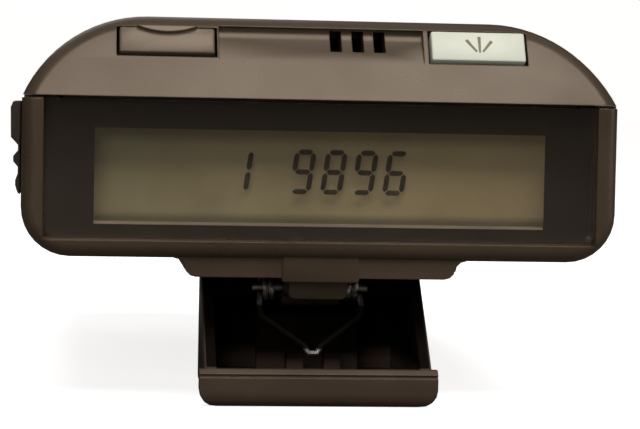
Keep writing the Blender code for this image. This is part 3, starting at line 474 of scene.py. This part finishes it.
def make_finishes():
    """One finish for each material slot of the record."""
    return {
        "shell_plastic": moulded_plastic(
            "look_shell", (0.064, 0.045, 0.030), 0.32, specular=0.54, corner_shade=0.15),
        "clip_plastic": moulded_plastic(
            "look_clip", (0.066, 0.045, 0.033), 0.36, grain=0.12, wear_and_highlight=0.35, shade=clip_inside_shade),
        "key_brown": moulded_plastic(
            "look_brown_key", (0.135, 0.104, 0.076), 0.36, grain=0.10, corner_shade=0.4, specular=0.6),
        "key_white": glossy_plastic("look_white_key", (0.82, 0.85, 0.73), 0.38),
        "knob_black": moulded_plastic("look_knob", (0.030, 0.025, 0.021), 0.40, grain=0.10, wear_and_highlight=0.6),
        "dark_plastic": moulded_plastic("look_holder", (0.022, 0.018, 0.015), 0.55, grain=0.10, wear_and_highlight=0.1),
        "smoked_window": smoked_window("look_window", (0.88, 0.84, 0.79)),
        "display_glass": display_glass("look_glass", (0.97, 0.97, 0.95)),
        "reflector": display_reflector("look_reflector", (0.55, 0.51, 0.35), (0.74, 0.62, 0.41)),
        "steel": metal("look_steel", (0.46, 0.45, 0.42), 0.34),
        "copper": metal(
            "look_copper", (0.72, 0.38, 0.22), 0.32, brush=(12, 1, 1), tarnish=(0.25, 0.14, 0.09)),
        "tungsten": metal("look_tungsten", (0.36, 0.35, 0.34), 0.45, brush=(1, 1, 1)),
        "board": circuit_board("look_board", (0.022, 0.105, 0.045), (0.55, 0.42, 0.18)),
        "chip_black": moulded_plastic("look_chip", (0.020, 0.020, 0.021), 0.60, grain=0.08, wear_and_highlight=0.2),
        "flex_amber": glossy_plastic("look_flex", (0.42, 0.19, 0.04), 0.30),
        "rubber": rubbery("look_rubber", (0.022, 0.021, 0.020)),
        "cell_jacket": glossy_plastic("look_cell", (0.10, 0.17, 0.24), 0.25),
        "cream_plastic": glossy_plastic("look_cream", (0.62, 0.56, 0.42), 0.35),
    }


# ---------------------------------------------------------------- shading of the CAD pieces


def soft_shading_group():
    """Geometry nodes that join a CAD mesh's split corners, shade it smooth and keep its hard edges hard."""
    group = bpy.data.node_groups.new("soft_shading", "GeometryNodeTree")
    for in_out in ("INPUT", "OUTPUT"):
        group.interface.new_socket("Geometry", in_out=in_out, socket_type="NodeSocketGeometry")
    new = group.nodes.new
    start = new("NodeGroupInput")
    end = new("NodeGroupOutput")
    weld = new("GeometryNodeMergeByDistance")
    weld.inputs["Distance"].default_value = WELD_DISTANCE
    faces = new("GeometryNodeSetShadeSmooth")
    faces.domain = "FACE"
    faces.inputs["Shade Smooth"].default_value = True
    edges = new("GeometryNodeSetShadeSmooth")
    edges.domain = "EDGE"
    edges.inputs["Shade Smooth"].default_value = False
    turn = new("GeometryNodeInputMeshEdgeAngle")
    hard = new("ShaderNodeMath")
    hard.operation = "GREATER_THAN"
    hard.inputs[1].default_value = SHARP_ANGLE
    for a, b in (
        (start.outputs[0], weld.inputs["Geometry"]),
        (weld.outputs["Geometry"], faces.inputs["Geometry"]),
        (faces.outputs["Geometry"], edges.inputs["Geometry"]),
        (turn.outputs["Unsigned Angle"], hard.inputs[0]),
        (hard.outputs[0], edges.inputs["Selection"]),
        (edges.outputs["Geometry"], end.inputs[0]),
    ):
        group.links.new(a, b)
    return group


def finish_cad_pieces(nodes):
    """Shades every CAD piece softly and gives it its slot's finish. The clip's spring has one of its own."""
    group = soft_shading_group()
    finishes = make_finishes()
    for node in nodes.values():
        for attribute in ("custom_normal", "sharp_face"):
            if attribute in node.data.attributes:
                node.data.attributes.remove(node.data.attributes[attribute])
        node.modifiers.new("soft_shading", "NODES").node_group = group
        for material_slot in node.material_slots:
            node.visible_shadow = material_slot.material.name not in SHADOWLESS
            material_slot.material = finishes[material_slot.material.name]
    nodes["clip_spring"].material_slots[0].material = spring_wire("look_spring")


# ---------------------------------------------------------------- new pieces


def new_piece(name, mesh, finish, body):
    """Turns a bmesh in millimetres into a piece that rides on a body."""
    mesh.transform(Matrix.Scale(MM, 4))
    bmesh.ops.recalc_face_normals(mesh, faces=mesh.faces)
    data = bpy.data.meshes.new(name)
    mesh.to_mesh(data)
    mesh.free()
    data.materials.append(finish)
    piece = bpy.data.objects.new(name, data)
    bpy.context.scene.collection.objects.link(piece)
    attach(piece, body)


def add_slab(mesh, outline, offset):
    """A closed slab: the outline of 3-D points, and its copy moved by offset."""
    near = [mesh.verts.new(p) for p in outline]
    far = [mesh.verts.new(Vector(p) + Vector(offset)) for p in outline]
    mesh.faces.new(near)
    mesh.faces.new(list(reversed(far)))
    for i, corner in enumerate(near):
        j = (i + 1) % len(near)
        mesh.faces.new((near[j], corner, far[i], far[j]))


def make_mask(front, finish):
    """The black border printed behind the window, as a thin frame."""
    mesh = bmesh.new()
    rings = []
    for depth in (front, front + MASK_THICKNESS):
        for half, (low, high) in ((MASK_HALF_WIDTH, MASK_Z), (OPENING_HALF_WIDTH, OPENING_Z)):
            corners = ((-half, low), (half, low), (half, high), (-half, high))
            rings.append([mesh.verts.new((x, depth, z)) for x, z in corners])
    outer_front, inner_front, outer_rear, inner_rear = rings
    around = (outer_front, inner_front, inner_rear, outer_rear, outer_front)
    for a, b in zip(around, around[1:]):
        for i in range(4):
            j = (i + 1) % 4
            mesh.faces.new((a[i], a[j], b[j], b[i]))
    new_piece("window_mask", mesh, finish, "case")


def make_sill(front, finish):
    """The chamfered ledge that catches the light along the bottom of the opening."""
    mesh = bmesh.new()
    low, high = SILL_Z
    rear = front + SILL_DEPTH
    chamfer_foot = (front, low + SILL_FRONT_HEIGHT)
    chamfer_top = (front + SILL_CHAMFER, high)
    profile = ((front, low), chamfer_foot, chamfer_top, (rear, high), (rear, low))
    outline = [(-OPENING_HALF_WIDTH, depth, z) for depth, z in profile]
    add_slab(mesh, outline, (2 * OPENING_HALF_WIDTH, 0, 0))
    new_piece("window_sill", mesh, finish, "case")


def segment_outline(letter):
    """The six-cornered outline of one segment of a digit, as (x, z) from the digit's lower left corner."""
    high = DIGIT_Z[1] - DIGIT_Z[0]
    half = STROKE / 2
    left, right = half, DIGIT_WIDTH - half
    bottom, middle, top = half, high / 2, high - half
    ends = {
        "a": ((left, top), (right, top)),
        "b": ((right, middle), (right, top)),
        "c": ((right, bottom), (right, middle)),
        "d": ((left, bottom), (right, bottom)),
        "e": ((left, bottom), (left, middle)),
        "f": ((left, middle), (left, top)),
        "g": ((left, middle), (right, middle)),
    }
    start, end = (Vector(p) for p in ends[letter])
    along = (end - start).normalized()
    side = Vector((-along.y, along.x)) * half
    start = start + along * STROKE_GAP
    end = end - along * STROKE_GAP
    inner_start = start + along * half
    inner_end = end - along * half
    return [start, inner_start - side, inner_end - side, end, inner_end + side, inner_start + side]


def make_digits(front, ink):
    """The lit segments of the digits, in the layer between the two glasses."""
    mesh = bmesh.new()
    for place, digit in SHOWN_DIGITS.items():
        left = (place - (SLOT_COUNT - 1) / 2) * SLOT_PITCH - DIGIT_WIDTH / 2 - DIGIT_SHIFT
        for letter in SEGMENTS[digit]:
            points = segment_outline(letter)
            outline = [(left + p.x + DIGIT_SLANT * p.y, front, DIGIT_Z[0] + p.y) for p in points]
            add_slab(mesh, outline, (0, INK_THICKNESS, 0))
    new_piece("display_digits", mesh, ink, "case")


def make_arrow(finish):
    """A plain downward arrow of three strokes, printed on the white key."""
    mesh = bmesh.new()
    base = BROW_FOOT + BROW_OUT * KEY_PROUD

    def on_key(x, up):
        return Vector((x, 0, 0)) + base + BROW_UP * up

    for start, end in ARROW_STROKES:
        start, end = Vector(start), Vector(end)
        side = (end - start).normalized().orthogonal()
        wide, thin = (side * width / 2 for width in ARROW_WIDTH)
        corners = (start - wide, end - thin, end + thin, start + wide)
        add_slab(mesh, [on_key(*corner) for corner in corners], BROW_OUT * PRINT_THICKNESS)
    new_piece("key_arrow", mesh, finish, "read_key")


def make_new_pieces():
    """The display's mask, sill and digits, and the arrow on the white key."""
    window_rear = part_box("display_lens")[1].y / MM
    glass_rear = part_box("lcd_front_glass")[1].y / MM
    mask_front = window_rear + MASK_GAP
    mask_finish = moulded_plastic(
        "look_mask", (0.010, 0.008, 0.007), 0.5, grain=0.04, depth=0.0005, wear_and_highlight=0.0, corner_shade=0.0, turn=0.02)
    make_mask(mask_front, mask_finish)
    sill_finish = moulded_plastic(
        "look_sill", (0.25, 0.22, 0.18), 0.35, grain=0.05, depth=0.001, corner_shade=0.0, turn=0.02)
    make_sill(mask_front + MASK_THICKNESS + MASK_GAP, sill_finish)
    make_digits(glass_rear + INK_GAP, liquid_crystal("look_ink", INK_STRENGTH))
    print_finish = moulded_plastic(
        "look_print", (0.21, 0.20, 0.125), 0.55, grain=0.06, wear_and_highlight=0.1, corner_shade=0.0, turn=0.01)
    make_arrow(print_finish)


# ---------------------------------------------------------------- studio


def make_stage(finish):
    """A floor that curves up into a back wall."""
    front, back, radius, half_width, top, steps = -1.6, 1.1, 0.6, 2.2, 2.4, 16
    profile = [(front, 0.0)]
    for step in range(steps + 1):
        turn = math.pi / 2 * step / steps
        profile.append((back + radius * math.sin(turn), radius * (1 - math.cos(turn))))
    profile.append((back + radius, top))
    mesh = bmesh.new()
    left, right = ([mesh.verts.new((x, y, z)) for y, z in profile] for x in (-half_width, half_width))
    for i in range(len(profile) - 1):
        mesh.faces.new((left[i], right[i], right[i + 1], left[i + 1]))
    data = bpy.data.meshes.new("studio_floor")
    mesh.to_mesh(data)
    mesh.free()
    data.shade_smooth()
    data.materials.append(finish)
    floor = bpy.data.objects.new("studio_floor", data)
    bpy.context.scene.collection.objects.link(floor)


def add_light(name, place, target, size, power, colour):
    """A soft rectangular light, which the camera doesn't see."""
    data = bpy.data.lights.new(name, "AREA")
    data.shape = "RECTANGLE"
    data.size, data.size_y = size
    data.energy = power
    data.color = colour
    light = bpy.data.objects.new(name, data)
    light.location = place
    light.rotation_mode = "QUATERNION"
    light.rotation_quaternion = (Vector(target) - Vector(place)).to_track_quat("-Z", "Y")
    light.visible_camera = False
    bpy.context.scene.collection.objects.link(light)


def make_world(seen, ambient):
    """A pale surround for the camera and a dimmer one for the light it gives."""
    world = bpy.data.worlds.new("studio")
    bpy.context.scene.world = world
    world.use_nodes = True
    nodes, links = world.node_tree.nodes, world.node_tree.links
    nodes.clear()
    rays = nodes.new("ShaderNodeLightPath")
    mix = nodes.new("ShaderNodeMixShader")
    links.new(rays.outputs["Is Camera Ray"], mix.inputs[0])
    for socket, colour in ((1, ambient), (2, seen)):
        background = nodes.new("ShaderNodeBackground")
        background.inputs["Color"].default_value = (*colour, 1.0)
        links.new(background.outputs[0], mix.inputs[socket])
    links.new(mix.outputs[0], nodes.new("ShaderNodeOutputWorld").inputs["Surface"])


def make_camera():
    """A camera turned by its yaw, tipped down by its pitch and rolled about its line of sight."""
    forward = Vector((
        math.sin(CAMERA_YAW) * math.cos(CAMERA_PITCH),
        math.cos(CAMERA_YAW) * math.cos(CAMERA_PITCH),
        -math.sin(CAMERA_PITCH),
    ))
    level = Vector((math.cos(CAMERA_YAW), -math.sin(CAMERA_YAW), 0))
    upright = level.cross(forward)
    right = math.cos(CAMERA_ROLL) * level + math.sin(CAMERA_ROLL) * upright
    up = -math.sin(CAMERA_ROLL) * level + math.cos(CAMERA_ROLL) * upright
    data = bpy.data.cameras.new("camera")
    data.sensor_width = CAMERA_SENSOR
    data.lens = CAMERA_LENS
    data.clip_start = CAMERA_NEAR
    data.clip_end = CAMERA_FAR
    camera = bpy.data.objects.new("camera", data)
    bpy.context.scene.collection.objects.link(camera)
    place = Matrix((right, up, -forward)).transposed().to_4x4()
    place.translation = Vector(CAMERA_PLACE) * MM
    camera.matrix_world = place
    bpy.context.scene.camera = camera


def make_studio():
    make_stage(studio_paper("look_paper"))
    for name, light in LIGHTS.items():
        add_light(name, **light)
    make_world(SURROUND_SEEN, SURROUND_AMBIENT)
    bpy.context.scene.view_settings.view_transform = "Standard"


def main():
    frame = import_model()
    finish_cad_pieces(frame["nodes"])
    make_new_pieces()
    make_studio()
    make_camera()


main()
